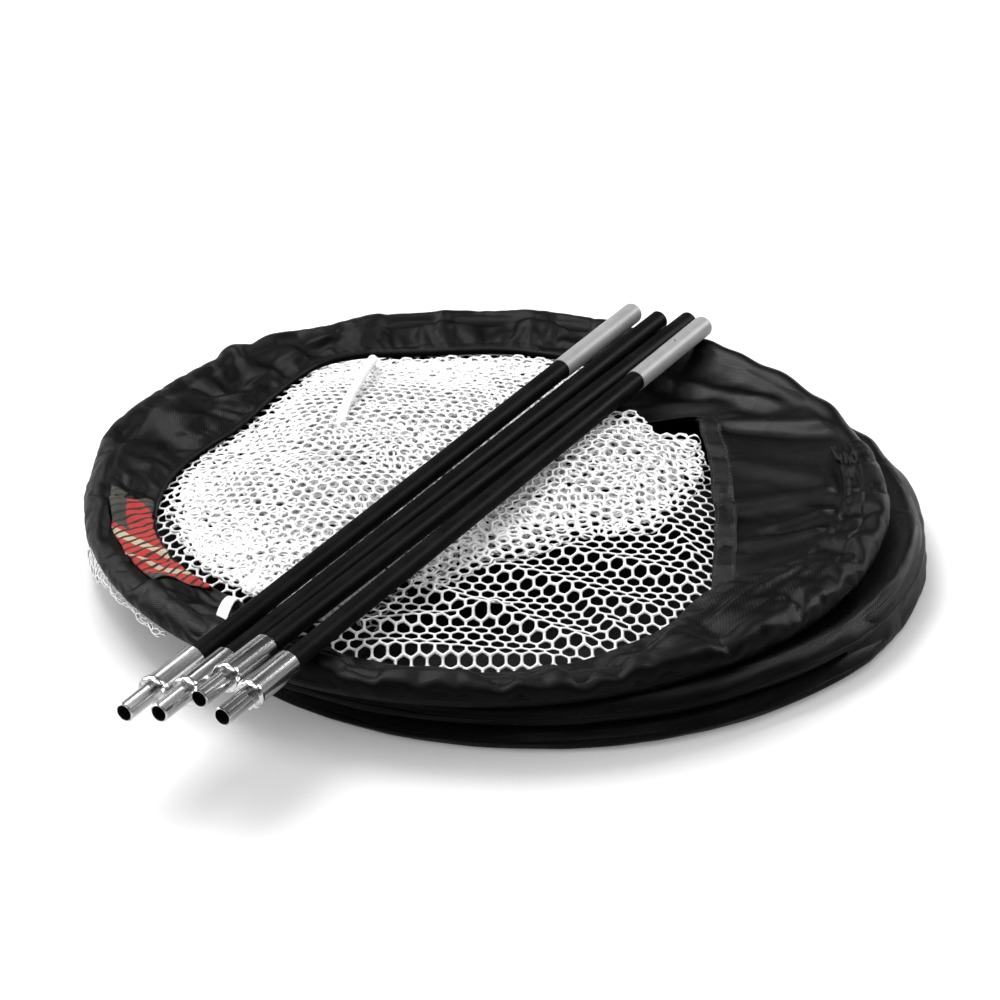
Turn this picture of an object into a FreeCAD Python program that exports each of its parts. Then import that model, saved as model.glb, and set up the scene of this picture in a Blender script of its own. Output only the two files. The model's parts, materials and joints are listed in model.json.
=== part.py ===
import FreeCAD, Part
import os
from math import atan2, cos, degrees, radians, sin, sqrt

# Golf chipping net, folded flat, with its four pole sections laid across it.
# One spring wire hoop is folded into three turns that lie on each other.  Each turn
# carries its fabric and its netting.  The turns swing apart like the leaves of a fan
# about two fold lines, one on the front right and one on the back left of the coil.
# Frame: +Z up, origin under the middle of the coil, on the face that it rests on.
# All sizes are in millimetres and all angles in degrees.

V = FreeCAD.Vector
UP = V(0, 0, 1)

# --- driving dimensions: the hoop -------------------------------------------------
WIRE_D = 2.5                # spring steel wire
SLEEVE_D = 10.4             # outside of the fabric sleeve round the wire
SLEEVE_WALL = 0.9
TURN_GAP = 0.6              # free height between two sleeves
TURN_PITCH = SLEEVE_D + TURN_GAP
OVAL_BLEND = 0.75           # how much tighter the oval's ends are than its sides
# Outside outline of each turn: centre x, centre y, half width, half depth.
TURNS = {"base": (12.0, 2.0, 159.0, 146.0),
         "middle": (6.0, 3.0, 164.0, 148.0),
         "top": (-10.0, 7.0, 165.0, 156.0)}
LEVELS = {"base": SLEEVE_D / 2,
          "middle": SLEEVE_D / 2 + TURN_PITCH,
          "top": SLEEVE_D / 2 + 2 * TURN_PITCH}

# --- driving dimensions: the folds ------------------------------------------------
FOLD_AZIMUTH = 58.0         # direction of both fold lines, and of the poles
# Where each turn leads to the next: 1 is the front right fold, -1 the back left one.
CROSSINGS = {"base": (1,), "middle": (1, -1), "top": (-1,)}
WIRE_CROSSING = 14.0        # length of wire left out where one turn leads to the next
SLEEVE_CROSSING = 5.0       # the same for the sleeve
CROSSING_REACH = (130.0, 200.0)     # the cut starts and ends this far from the axis

# --- driving dimensions: the wire's joint -----------------------------------------
SPLICE_D = 4.4
SPLICE_LENGTH = 24.0
SPLICE_AZIMUTH = 200.0
FIT_GAP = 0.05              # radial gap of a glued or crimped fit
WIRE_BUTT_GAP = 1.0         # the two wire ends don't quite touch in the splice

# --- driving dimensions: fabric and netting, as heights above the rest face --------
EDGE_GAP = 0.3              # soft pieces stay this far from their neighbours
BASE_PANEL = (0.0, 1.2)
BASE_NET = (1.6, 8.8)
MIDDLE_NET = (12.2, 17.6)
MIDDLE_SKIRT = (18.2, 21.0)
MIDDLE_SKIRT_WIDTH = 34.0
TARGET_NET = (22.6, 25.6)
TOP_BAND = (26.0, 29.4)
NET_EDGE = (-10.0, -1.0, 136.0, 130.0)     # oval opening of the top turn's fabric
BAND_SPLIT_Y = -22.0        # rim skirt behind this line, front band before it
PANEL_EDGE_X = 88.5         # the right panel starts here
PILE_FLOOR = 26.0           # the catch net is a low pile on the target net
PILE_TOP = 38.0
PILE_CENTRE = (-32.0, 17.0)
PILE_RADIUS = 640.0         # radius of the pile's rounded top

# --- driving dimensions: trim on the top turn ---------------------------------------
BINDING = (29.8, 31.0)      # lower and upper height of the tape on the panel's edge
BINDING_WIDTH = 9.0
BINDING_BOW = 600.0         # radius of the tape's gentle curve
BINDING_Y = (-78.0, 74.0)
LABEL = (29.8, 30.6)
LABEL_INSET = (11.2, 26.0)  # from the outline to the label's two long edges
LABEL_AZIMUTHS = (185.0, 219.0)
TAB = LABEL                 # the tab lies in the label's layer
TAB_INSET = (11.2, 28.0)
TAB_AZIMUTHS = (221.4, 223.4)
CORD_D = 3.6
CORD_TUNNEL_D = 4.4
CORD_POINTS = ((-63.0, 122.0, 31.6), (-73.0, 20.0, 33.4), (-101.0, -78.0, 31.6))

# --- driving dimensions: one pole section, along its own axis from the spigot -------
POLE_LENGTH = 374.0
TUBE_D = 8.5
TUBE_WALL = 0.4
SPIGOT_D = 7.6
SPIGOT_BORE_D = 6.4
SPIGOT_LENGTH = 16.6
SPIGOT_CHAMFER = 0.4
BEAD_D = 12.5
BEAD_WIDTH = 3.4
SOCKET_D = 11.2             # outside of the ferrule behind its bead
SOCKET_LENGTH = 24.0
TIP_D = 9.3
TIP_LENGTH = 62.0
TIP_WALL_END = 4.0
TIP_ROUND = 2.2
DIMPLE_R = 1.4
DIMPLE_DEPTH = 0.5
DIMPLE_FROM_END = 27.0
# How each section lies: where it starts along the fold direction, its place across
# that direction at its two ends, and its height at its two ends.
POLES = {1: (-224.0, (-31.4, -28.4), (36.5, 43.0)),
         2: (-219.5, (-18.5, -18.5), (38.2, 39.5)),
         3: (-209.6, (-6.8, -9.1), (43.3, 37.2)),
         4: (-212.9, (6.1, 1.0), (41.5, 39.6))}
TIPPED_POLES = (1, 4)
CHANNEL_SIDES = (-39.0, 13.5)       # the poles press a flat channel into the pile
CHANNEL_FLOOR = 31.4

# --- directions ---------------------------------------------------------------------
ALONG = V(cos(radians(FOLD_AZIMUTH)), sin(radians(FOLD_AZIMUTH)), 0)
ACROSS = V(ALONG.y, -ALONG.x, 0)    # towards the front right fold
LARGE = 500.0                       # longer than anything in the model


# --- ovals: four tangent arcs -------------------------------------------------------
def oval_arcs(outline, inset):
    """Arcs (centre, radius, start, end) of an oval, moved inwards by inset."""
    x, y, half_x, half_y = outline
    end_r = half_y - OVAL_BLEND * (half_x - half_y)
    side_r = (half_x**2 - 2 * half_x * end_r + half_y**2) / (2 * (half_y - end_r))
    join = degrees(atan2(side_r - half_y, half_x - end_r))
    reach_x = half_x - end_r
    reach_y = side_r - half_y
    return [((x + reach_x, y), end_r - inset, -join, join),
            ((x, y - reach_y), side_r - inset, join, 180 - join),
            ((x - reach_x, y), end_r - inset, 180 - join, 180 + join),
            ((x, y + reach_y), side_r - inset, 180 + join, 360 - join)]


def oval_plate(outline, inset, heights):
    """Flat oval plate between two heights."""
    low, high = heights
    edges = []
    for centre, radius, start, end in oval_arcs(outline, inset):
        circle = Part.Circle(V(centre[0], centre[1], low), UP, radius)
        edges.append(Part.ArcOfCircle(circle, radians(start), radians(end)).toShape())
    return Part.Face(Part.Wire(edges)).extrude(V(0, 0, high - low))


def oval_ring(outline, inset, z, section_r):
    """Closed round-section ring along an oval."""
    pieces = []
    for centre, radius, start, end in oval_arcs(outline, inset):
        heading = V(cos(radians(start)), sin(radians(start)), 0)
        hub = V(centre[0], centre[1], z)
        circle = Part.makeCircle(section_r, hub + heading * radius, UP.cross(heading))
        pieces.append(Part.Face(Part.Wire(circle)).revolve(hub, UP, end - start))
    return pieces[0].fuse(pieces[1:]).removeSplitter()


# --- cutting tools ------------------------------------------------------------------
def turned_box(across, along, heights):
    """Box between limits across and along the fold direction."""
    box = Part.makeBox(across[1] - across[0], along[1] - along[0], heights[1] - heights[0],
                       V(across[0], along[0], heights[0]))
    box.rotate(V(0, 0, 0), UP, FOLD_AZIMUTH - 90)
    return box


def crossing_cut(side, width):
    """Removes a ring's stretch at the front right (side 1) or back left (side -1)."""
    near, far = CROSSING_REACH
    across = (near, far) if side > 0 else (-far, -near)
    return turned_box(across, (-width / 2, width / 2), (-LARGE, LARGE))


def sector(outline, azimuths, heights):
    """Wedge about an oval's centre between two azimuths."""
    x, y = outline[0], outline[1]
    low, high = heights
    wedge = Part.makeCylinder(LARGE, high - low, V(x, y, low), UP, azimuths[1] - azimuths[0])
    wedge.rotate(V(x, y, 0), UP, azimuths[0])
    return wedge


def tall_box(low_x, high_x, low_y, high_y):
    """Box of unlimited height, to keep one region of the model."""
    return Part.makeBox(high_x - low_x, high_y - low_y, 2 * LARGE, V(low_x, low_y, -LARGE))


def with_crossings(ring, turn, width):
    for side in CROSSINGS[turn]:
        ring = ring.cut(crossing_cut(side, width))
    return ring


# --- the hoop -----------------------------------------------------------------------
def hoop_wire(turn):
    ring = oval_ring(TURNS[turn], SLEEVE_D / 2, LEVELS[turn], WIRE_D / 2)
    return with_crossings(ring, turn, WIRE_CROSSING)


def hoop_sleeve(turn):
    outside = oval_ring(TURNS[turn], SLEEVE_D / 2, LEVELS[turn], SLEEVE_D / 2)
    hollow = oval_ring(TURNS[turn], SLEEVE_D / 2, LEVELS[turn], SLEEVE_D / 2 - SLEEVE_WALL)
    return with_crossings(outside.cut(hollow), turn, SLEEVE_CROSSING)


def splice_sector(length):
    """Wedge of the base turn, length long at the wire."""
    spread = degrees(length / TURNS["base"][2])
    azimuths = (SPLICE_AZIMUTH - spread / 2, SPLICE_AZIMUTH + spread / 2)
    return sector(TURNS["base"], azimuths, (-LARGE, LARGE))


def base_hoop_wire():
    return hoop_wire("base").cut(splice_sector(WIRE_BUTT_GAP))


def hoop_splice():
    outline, z = TURNS["base"], LEVELS["base"]
    outside = oval_ring(outline, SLEEVE_D / 2, z, SPLICE_D / 2)
    bore = oval_ring(outline, SLEEVE_D / 2, z, WIRE_D / 2 + FIT_GAP)
    return outside.cut(bore).common(splice_sector(SPLICE_LENGTH))


# --- fabric and netting -------------------------------------------------------------
def inside_sleeve(turn, heights, extra=0.0):
    """Plate that fills a turn up to its sleeve."""
    return oval_plate(TURNS[turn], SLEEVE_D + EDGE_GAP + extra, heights)


def middle_skirt():
    plate = inside_sleeve("middle", MIDDLE_SKIRT)
    return plate.cut(oval_plate(TURNS["middle"], SLEEVE_D + MIDDLE_SKIRT_WIDTH, MIDDLE_SKIRT))


def top_band():
    """Fabric between the top sleeve and the net's edge, up to the right panel."""
    band = inside_sleeve("top", TOP_BAND).cut(oval_plate(NET_EDGE, 0.0, TOP_BAND))
    return band.common(tall_box(-LARGE, PANEL_EDGE_X - EDGE_GAP, -LARGE, LARGE))


def rim_skirt():
    return top_band().common(tall_box(-LARGE, LARGE, BAND_SPLIT_Y + EDGE_GAP, LARGE))


def front_band():
    return top_band().common(tall_box(-LARGE, LARGE, -LARGE, BAND_SPLIT_Y))


def right_panel():
    panel = inside_sleeve("top", TOP_BAND)
    return panel.common(tall_box(PANEL_EDGE_X, LARGE, -LARGE, LARGE))


def panel_binding():
    low, high = BINDING
    hub = V(PANEL_EDGE_X + BINDING_WIDTH / 2 - BINDING_BOW, sum(BINDING_Y) / 2, low)
    outside = Part.makeCylinder(BINDING_BOW, high - low, hub)
    inside = Part.makeCylinder(BINDING_BOW - BINDING_WIDTH, high - low, hub)
    return outside.cut(inside).common(tall_box(0, LARGE, *BINDING_Y))


def cord_path():
    start, middle, end = (V(*point) for point in CORD_POINTS)
    return Part.Arc(start, middle, end).toShape()


def cord(diameter):
    """Round cord that follows the arc from the back rim to the front left rim."""
    path = cord_path()
    arc = path.Curve
    circle = Part.makeCircle(diameter / 2, V(*CORD_POINTS[0]), path.tangentAt(path.FirstParameter))
    sweep = degrees(path.LastParameter - path.FirstParameter)
    return Part.Face(Part.Wire(circle)).revolve(arc.Center, arc.Axis, sweep)


def catch_net():
    """Low rounded pile of netting with the poles' channel and the cord's tunnel."""
    pile = oval_plate(NET_EDGE, EDGE_GAP, (PILE_FLOOR, PILE_TOP + EDGE_GAP))
    pile = pile.common(tall_box(-LARGE, PANEL_EDGE_X - EDGE_GAP, -LARGE, LARGE))
    hub = V(PILE_CENTRE[0], PILE_CENTRE[1], PILE_TOP - PILE_RADIUS)
    pile = pile.common(Part.makeSphere(PILE_RADIUS, hub, UP))
    pile = pile.cut(turned_box(CHANNEL_SIDES, (-LARGE, LARGE), (CHANNEL_FLOOR, LARGE)))
    return pile.cut(cord(CORD_TUNNEL_D))


def rim_strip(insets, azimuths, heights):
    """Flat strip on top of the top turn's rim."""
    strip = oval_plate(TURNS["top"], insets[0], heights)
    strip = strip.cut(oval_plate(TURNS["top"], insets[1], heights))
    return strip.common(sector(TURNS["top"], azimuths, heights))


# --- pole sections ------------------------------------------------------------------
def tube_between(start, end, outer_d, inner_d):
    """Plain tube along +X."""
    axis = V(1, 0, 0)
    outside = Part.makeCylinder(outer_d / 2, end - start, V(start, 0, 0), axis)
    return outside.cut(Part.makeCylinder(inner_d / 2, end - start, V(start, 0, 0), axis))


def turned(points, bead=None):
    """Solid of revolution about X; bead is (index, crown) of an arc between two points."""
    edges = []
    for i, start in enumerate(points):
        end = points[(i + 1) % len(points)]
        if bead and i == bead[0]:
            edges.append(Part.Arc(V(*start, 0), V(*bead[1], 0), V(*end, 0)).toShape())
        else:
            edges.append(Part.makeLine(V(*start, 0), V(*end, 0)))
    return Part.Face(Part.Wire(edges)).revolve(V(0, 0, 0), V(1, 0, 0), 360)


BEAD_END = SPIGOT_LENGTH + BEAD_WIDTH
FERRULE_END = BEAD_END + SOCKET_LENGTH
TIP_START = POLE_LENGTH - TIP_LENGTH
SOCKET_BORE_R = TUBE_D / 2 + FIT_GAP


def ferrule():
    """Open spigot, stop bead and the socket that grips the tube."""
    spigot_r, socket_r = SPIGOT_D / 2, SOCKET_D / 2
    crown = (SPIGOT_LENGTH + BEAD_WIDTH / 2, BEAD_D / 2)
    points = [(0, SPIGOT_BORE_D / 2),
              (0, spigot_r - SPIGOT_CHAMFER),
              (SPIGOT_CHAMFER, spigot_r),
              (SPIGOT_LENGTH, spigot_r),
              (SPIGOT_LENGTH, socket_r),
              (BEAD_END, socket_r),
              (FERRULE_END, socket_r),
              (FERRULE_END, SOCKET_BORE_R),
              (BEAD_END, SOCKET_BORE_R),
              (BEAD_END, SPIGOT_BORE_D / 2)]
    return turned(points, bead=(4, crown))


def pole_tube(number):
    end = POLE_LENGTH
    if number in TIPPED_POLES:
        end -= TIP_WALL_END + FIT_GAP
    return tube_between(BEAD_END + FIT_GAP, end, TUBE_D, TUBE_D - 2 * TUBE_WALL)


def pole_tip(number):
    """Closed grey cap over the tube's far end; the fourth pole's has a crimp dimple."""
    outer_r = TIP_D / 2
    round_off = TIP_ROUND * (1 - sqrt(0.5))
    floor = POLE_LENGTH - TIP_WALL_END
    points = [(TIP_START, SOCKET_BORE_R),
              (TIP_START, outer_r),
              (POLE_LENGTH - TIP_ROUND, outer_r),
              (POLE_LENGTH, outer_r - TIP_ROUND),
              (POLE_LENGTH, 0),
              (floor, 0),
              (floor, SOCKET_BORE_R)]
    tip = turned(points, bead=(2, (POLE_LENGTH - round_off, outer_r - round_off)))
    if number == max(TIPPED_POLES):
        hub = V(POLE_LENGTH - DIMPLE_FROM_END, 0, outer_r + DIMPLE_R - DIMPLE_DEPTH)
        tip = tip.cut(Part.makeSphere(DIMPLE_R, hub))
    return tip


def pole_placement(number):
    """Puts a section that was built along +X where that pole lies."""
    start, sides, heights = POLES[number]
    near = ALONG * start + ACROSS * sides[0] + UP * heights[0]
    drift = ACROSS * (sides[1] - sides[0]) + UP * (heights[1] - heights[0])
    run = sqrt(POLE_LENGTH**2 - drift.Length**2)
    heading = ALONG * run + drift
    level = FreeCAD.Rotation(UP, degrees(atan2(heading.y, heading.x)))
    level_run = sqrt(heading.x**2 + heading.y**2)
    tilt = FreeCAD.Rotation(V(0, 1, 0), -degrees(atan2(heading.z, level_run)))
    return FreeCAD.Placement(near, level.multiply(tilt))


def laid(shape, number):
    shape = shape.copy()
    shape.Placement = pole_placement(number)
    return shape


# --- all nodes ----------------------------------------------------------------------
def all_nodes():
    nodes = {"base_hoop_wire": base_hoop_wire(),
             "hoop_splice": hoop_splice(),
             "base_sleeve": hoop_sleeve("base"),
             "base_panel": inside_sleeve("base", BASE_PANEL),
             "base_net": inside_sleeve("base", BASE_NET),
             "middle_hoop_wire": hoop_wire("middle"),
             "middle_sleeve": hoop_sleeve("middle"),
             "middle_net": inside_sleeve("middle", MIDDLE_NET),
             "middle_skirt": middle_skirt(),
             "top_hoop_wire": hoop_wire("top"),
             "top_sleeve": hoop_sleeve("top"),
             "target_net": inside_sleeve("top", TARGET_NET),
             "catch_net": catch_net(),
             "rim_skirt": rim_skirt(),
             "front_band": front_band(),
             "right_panel": right_panel(),
             "panel_binding": panel_binding(),
             "label_strip": rim_strip(LABEL_INSET, LABEL_AZIMUTHS, LABEL),
             "elastic_cord": cord(CORD_D),
             "cord_tab": rim_strip(TAB_INSET, TAB_AZIMUTHS, TAB)}
    for number in POLES:
        nodes[f"pole_{number}_tube"] = laid(pole_tube(number), number)
        nodes[f"pole_{number}_ferrule"] = laid(ferrule(), number)
    for number in TIPPED_POLES:
        nodes[f"pole_{number}_tip"] = laid(pole_tip(number), number)
    return nodes


os.makedirs("parts", exist_ok=True)
for name, shape in all_nodes().items():
    shape.exportStep(f"parts/{name}.step")
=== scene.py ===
import json
from math import atan2, cos, pi, radians, sin, sqrt

import bpy
import numpy as np
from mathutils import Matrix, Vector

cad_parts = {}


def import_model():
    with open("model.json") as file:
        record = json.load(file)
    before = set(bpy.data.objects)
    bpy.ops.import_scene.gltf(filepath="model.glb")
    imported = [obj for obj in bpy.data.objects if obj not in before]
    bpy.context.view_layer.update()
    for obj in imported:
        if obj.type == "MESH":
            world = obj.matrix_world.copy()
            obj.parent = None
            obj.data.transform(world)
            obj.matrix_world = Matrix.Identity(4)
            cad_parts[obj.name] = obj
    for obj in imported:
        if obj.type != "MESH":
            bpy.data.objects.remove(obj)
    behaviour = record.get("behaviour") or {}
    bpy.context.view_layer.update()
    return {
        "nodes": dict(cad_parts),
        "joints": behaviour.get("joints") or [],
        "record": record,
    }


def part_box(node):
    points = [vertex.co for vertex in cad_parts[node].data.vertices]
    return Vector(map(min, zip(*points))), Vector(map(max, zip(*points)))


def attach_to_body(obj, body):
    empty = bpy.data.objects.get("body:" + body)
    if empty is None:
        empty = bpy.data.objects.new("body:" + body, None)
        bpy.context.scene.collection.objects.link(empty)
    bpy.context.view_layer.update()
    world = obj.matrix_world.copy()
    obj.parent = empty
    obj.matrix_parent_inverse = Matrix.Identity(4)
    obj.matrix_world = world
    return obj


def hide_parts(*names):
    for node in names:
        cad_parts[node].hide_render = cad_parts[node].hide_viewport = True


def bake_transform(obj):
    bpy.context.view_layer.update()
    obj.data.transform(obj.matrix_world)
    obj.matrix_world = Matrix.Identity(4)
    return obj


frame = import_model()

# Looks of the folded chipping net.  Lengths are in millimetres in the row frame until a
# mesh is made; places come from the CAD nodes' boxes.
MM = 0.001

# --- cloth ---
OVAL_BLEND = 0.75           # shape of the turns' ovals, as in the CAD
CLOTH_THICKNESS = 0.5
SLEEVE_EASE = 0.35          # the sleeves stand this far off the CAD sleeves
SIM_SCALE = 10.0            # cloth is simulated this much larger than it is
SIM_FRAMES = 22
SIM_SETTINGS = {"quality": 5, "mass": 0.3, "tension_stiffness": 15, "compression_stiffness": 15,
                "shear_stiffness": 5, "air_damping": 2.0, "vertex_group_mass": "held"}
BAND_ARC, SLEEVE_ARC = 2.7, 2.8     # length along the ring for each degree, for wrinkles

# --- netting ---
NET_PITCH = 6.5             # from hole to hole along a row
NET_ROW = 5.9               # from row to row
NET_STRAND = 1.15           # width of a strand
NET_THICKNESS = 0.9
HEAP_STRAND = 2.0           # of the crumpled layers under the top one
NET_CORNERS = 12            # points round a hole
NET_KEY = 100003            # tells lattice rows apart in one number, beyond any step count
NORMAL_STEP = 0.004         # share of a sheet, for its slope

# --- camera and light ---
CAMERA_TARGET = (-4.1, 22.2, 16.0)
CAMERA_DISTANCE = 1700.0
CAMERA_ELEVATION = radians(30)
CAMERA_FOV = radians(14.084)
CAMERA_FAR = 20.0           # metres
FLOOR_REACH = 15000.0
SOFT_LIGHT = 0.8            # strength of the even light from all sides


# --- shapes ---
def box_mm(node):
    low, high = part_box(node)
    return np.array(low) / MM, np.array(high) / MM


def smooth(t):
    t = np.clip(t, 0.0, 1.0)
    return t * t * (3 - 2 * t)


def bump(value, centre, spread):
    """Bell of height 1 about a centre."""
    return np.exp(-((value - centre) / spread) ** 2)


def turn_between(angle, centre):
    """Signed angle in degrees from centre to angle."""
    return (angle - centre + 180.0) % 360.0 - 180.0


def seen_from(centre, x, y):
    """Direction in radians and distance of plan points from a centre."""
    dx, dy = x - centre[0], y - centre[1]
    return np.arctan2(dy, dx), np.hypot(dx, dy)


def plan_at(centre, angle, distance):
    return centre[0] + distance * np.cos(angle), centre[1] + distance * np.sin(angle)


def unit(vectors):
    return vectors / np.maximum(np.linalg.norm(vectors, axis=-1, keepdims=True), 1e-9)


def noise(x, y, seed):
    """Smooth random height between -1 and 1 over a plane, about one bump per unit."""
    table = np.random.default_rng(seed).uniform(-1, 1, (64, 64))
    x, y = np.broadcast_arrays(np.asarray(x, float), np.asarray(y, float))
    column, row = np.floor(x).astype(int), np.floor(y).astype(int)
    a, b = smooth(x - column), smooth(y - row)
    c0, c1, r0, r1 = column % 64, (column + 1) % 64, row % 64, (row + 1) % 64
    near = table[c0, r0] * (1 - a) + table[c1, r0] * a
    far = table[c0, r1] * (1 - a) + table[c1, r1] * a
    return near * (1 - b) + far * b


def ridges(x, y, seed):
    """Sharp-crested noise, for creased cloth."""
    first = 1 - np.abs(noise(x, y, seed)) * 2
    second = 1 - np.abs(noise(x * 2.1, y * 2.1, seed + 1)) * 2
    return first * 0.7 + second * 0.3


class Oval:
    """Oval of four tangent arcs; phi is the direction that its outside faces."""

    def __init__(self, centre, half, z=0.0):
        self.centre = np.array(centre, float)
        self.half = half
        self.z = z
        self.end_r = half[1] - OVAL_BLEND * (half[0] - half[1])
        shape = half[0] ** 2 - 2 * half[0] * self.end_r + half[1] ** 2
        self.side_r = shape / (2 * (half[1] - self.end_r))
        self.reach = (half[0] - self.end_r, self.side_r - half[1])
        self.join = atan2(self.reach[1], self.reach[0])

    def point(self, phi, inset):
        """Plan point for direction phi (radians), moved inwards by inset."""
        c, s = np.cos(phi), np.sin(phi)
        on_side = np.abs(s) > sin(self.join)
        radius = np.where(on_side, self.side_r, self.end_r) - inset
        hub_x = np.where(on_side, 0.0, np.sign(c) * self.reach[0])
        hub_y = np.where(on_side, -np.sign(s) * self.reach[1], 0.0)
        return self.centre[0] + hub_x + radius * c, self.centre[1] + hub_y + radius * s


def turn_oval(node):
    low, high = box_mm(node)
    return Oval((low + high)[:2] / 2, (high - low)[:2] / 2, (low + high)[2] / 2)


TURNS = {turn: turn_oval(f"{turn}_sleeve") for turn in ("base", "middle", "top")}
sleeve_low, sleeve_high = box_mm("top_sleeve")
SLEEVE_R = (sleeve_high - sleeve_low)[2] / 2
TAPE_LOW, TAPE_HIGH = box_mm("panel_binding")
TAPE_WIDTH = 9.0
TAPE_X = (TAPE_LOW[0] + TAPE_HIGH[0]) / 2
BAND_TOP = box_mm("front_band")[1][2]
SKIRT_Z = box_mm("middle_skirt")[0][2] + 0.6
SKIRT_WIDTH = 44.0
CORD_LOW, CORD_HIGH = box_mm("elastic_cord")
FOLD_AXIS = frame["joints"][0]["axis"]
ACROSS = (FOLD_AXIS[1], -FOLD_AXIS[0])      # across the fold, towards the front right


# --- meshes ---
def points_at(x, y, z):
    return np.stack(np.broadcast_arrays(x, y, z), -1)


def linked(name, data):
    made = bpy.data.objects.new(name, data)
    bpy.context.scene.collection.objects.link(made)
    return made


def mesh_object(name, points, faces, uvs=None, material=None):
    """Smooth object from points in millimetres; uvs is one (u, v) for each point, too."""
    mesh = bpy.data.meshes.new(name)
    faces = faces.tolist() if isinstance(faces, np.ndarray) else faces
    mesh.from_pydata((np.asarray(points) * MM).tolist(), [], faces)
    if uvs is not None:
        layer = mesh.uv_layers.new(name="fabric")
        corners = np.zeros(len(mesh.loops), int)
        mesh.loops.foreach_get("vertex_index", corners)
        layer.data.foreach_set("uv", (np.asarray(uvs) * MM)[corners].astype(np.float32).ravel())
    mesh.polygons.foreach_set("use_smooth", [True] * len(mesh.polygons))
    if material:
        mesh.materials.append(material)
    return linked(name, mesh)


def grid_faces(rows, columns, closed=False):
    index = np.arange(rows * columns).reshape(rows, columns)
    if closed:
        index = np.vstack([index, index[:1]])
    quads = np.stack([index[:-1, :-1], index[1:, :-1], index[1:, 1:], index[:-1, 1:]], -1)
    return quads.reshape(-1, 4)


def arc_lengths(grid):
    """Distances along both directions of a grid of points, from its first corner."""
    along = np.linalg.norm(np.diff(grid, axis=0), axis=2).mean(1)
    across = np.linalg.norm(np.diff(grid, axis=1), axis=2).mean(0)
    u = np.concatenate([[0], np.cumsum(along)])
    v = np.concatenate([[0], np.cumsum(across)])
    return np.stack(np.meshgrid(u, v, indexing="ij"), -1)


def freeze(made):
    """Applies the object's modifiers to its mesh."""
    graph = bpy.context.evaluated_depsgraph_get()
    mesh = bpy.data.meshes.new_from_object(made.evaluated_get(graph))
    mesh.name = made.name
    made.modifiers.clear()
    made.data = mesh
    return made


def cloth_object(name, grid, material, thickness=CLOTH_THICKNESS, level=1, closed=False):
    """Closed, slightly thick cloth from a grid of points."""
    rows, columns = grid.shape[:2]
    uvs = arc_lengths(grid).reshape(-1, 2)
    faces = grid_faces(rows, columns, closed)
    made = mesh_object(name, grid.reshape(-1, 3), faces, uvs, material)
    if level:
        subdivide = made.modifiers.new("Smooth", "SUBSURF")
        subdivide.levels = level
        subdivide.render_levels = level
        subdivide.boundary_smooth = "PRESERVE_CORNERS"
    shell = made.modifiers.new("Thickness", "SOLIDIFY")
    shell.thickness = thickness * MM
    shell.offset = 0.0
    return freeze(made)


# --- cloth simulation ---
def soften(grid):
    """Averages every inner point with its neighbours."""
    near = (grid[:-2, 1:-1] + grid[2:, 1:-1] + grid[1:-1, :-2] + grid[1:-1, 2:]) / 4
    grid = grid.copy()
    grid[1:-1, 1:-1] = (grid[1:-1, 1:-1] + near) / 2
    return grid


def wrinkle(grid, held, growth, bending=1.0, cap=4.0):
    """Lets a sheet of cloth grow while its held points stay, so that it buckles.

    No point moves further than cap."""
    sheet = mesh_object("sheet", grid.reshape(-1, 3) * SIM_SCALE, grid_faces(*grid.shape[:2]))
    group = sheet.vertex_groups.new(name="held")
    group.add(np.nonzero(held.ravel())[0].tolist(), 1.0, "REPLACE")
    cloth = sheet.modifiers.new("Cloth", "CLOTH")
    for key, value in SIM_SETTINGS.items():
        setattr(cloth.settings, key, value)
    cloth.settings.bending_stiffness = bending
    cloth.settings.shrink_min = -growth
    cloth.settings.effector_weights.gravity = 0.0
    cloth.collision_settings.use_self_collision = False
    cloth.collision_settings.use_collision = False
    scene = bpy.context.scene
    cloth.point_cache.frame_start = 1
    cloth.point_cache.frame_end = SIM_FRAMES
    for number in range(1, SIM_FRAMES + 1):
        scene.frame_set(number)
    graph = bpy.context.evaluated_depsgraph_get()
    result = sheet.evaluated_get(graph).to_mesh()
    points = np.zeros(len(result.vertices) * 3)
    result.vertices.foreach_get("co", points)
    mesh = sheet.data
    bpy.data.objects.remove(sheet)
    bpy.data.meshes.remove(mesh)
    scene.frame_set(1)
    moved = soften(points.reshape(grid.shape) / (SIM_SCALE * MM) - grid)
    distance = np.linalg.norm(moved, axis=-1, keepdims=True)
    return grid + moved * cap / np.sqrt(cap * cap + distance * distance)


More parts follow.
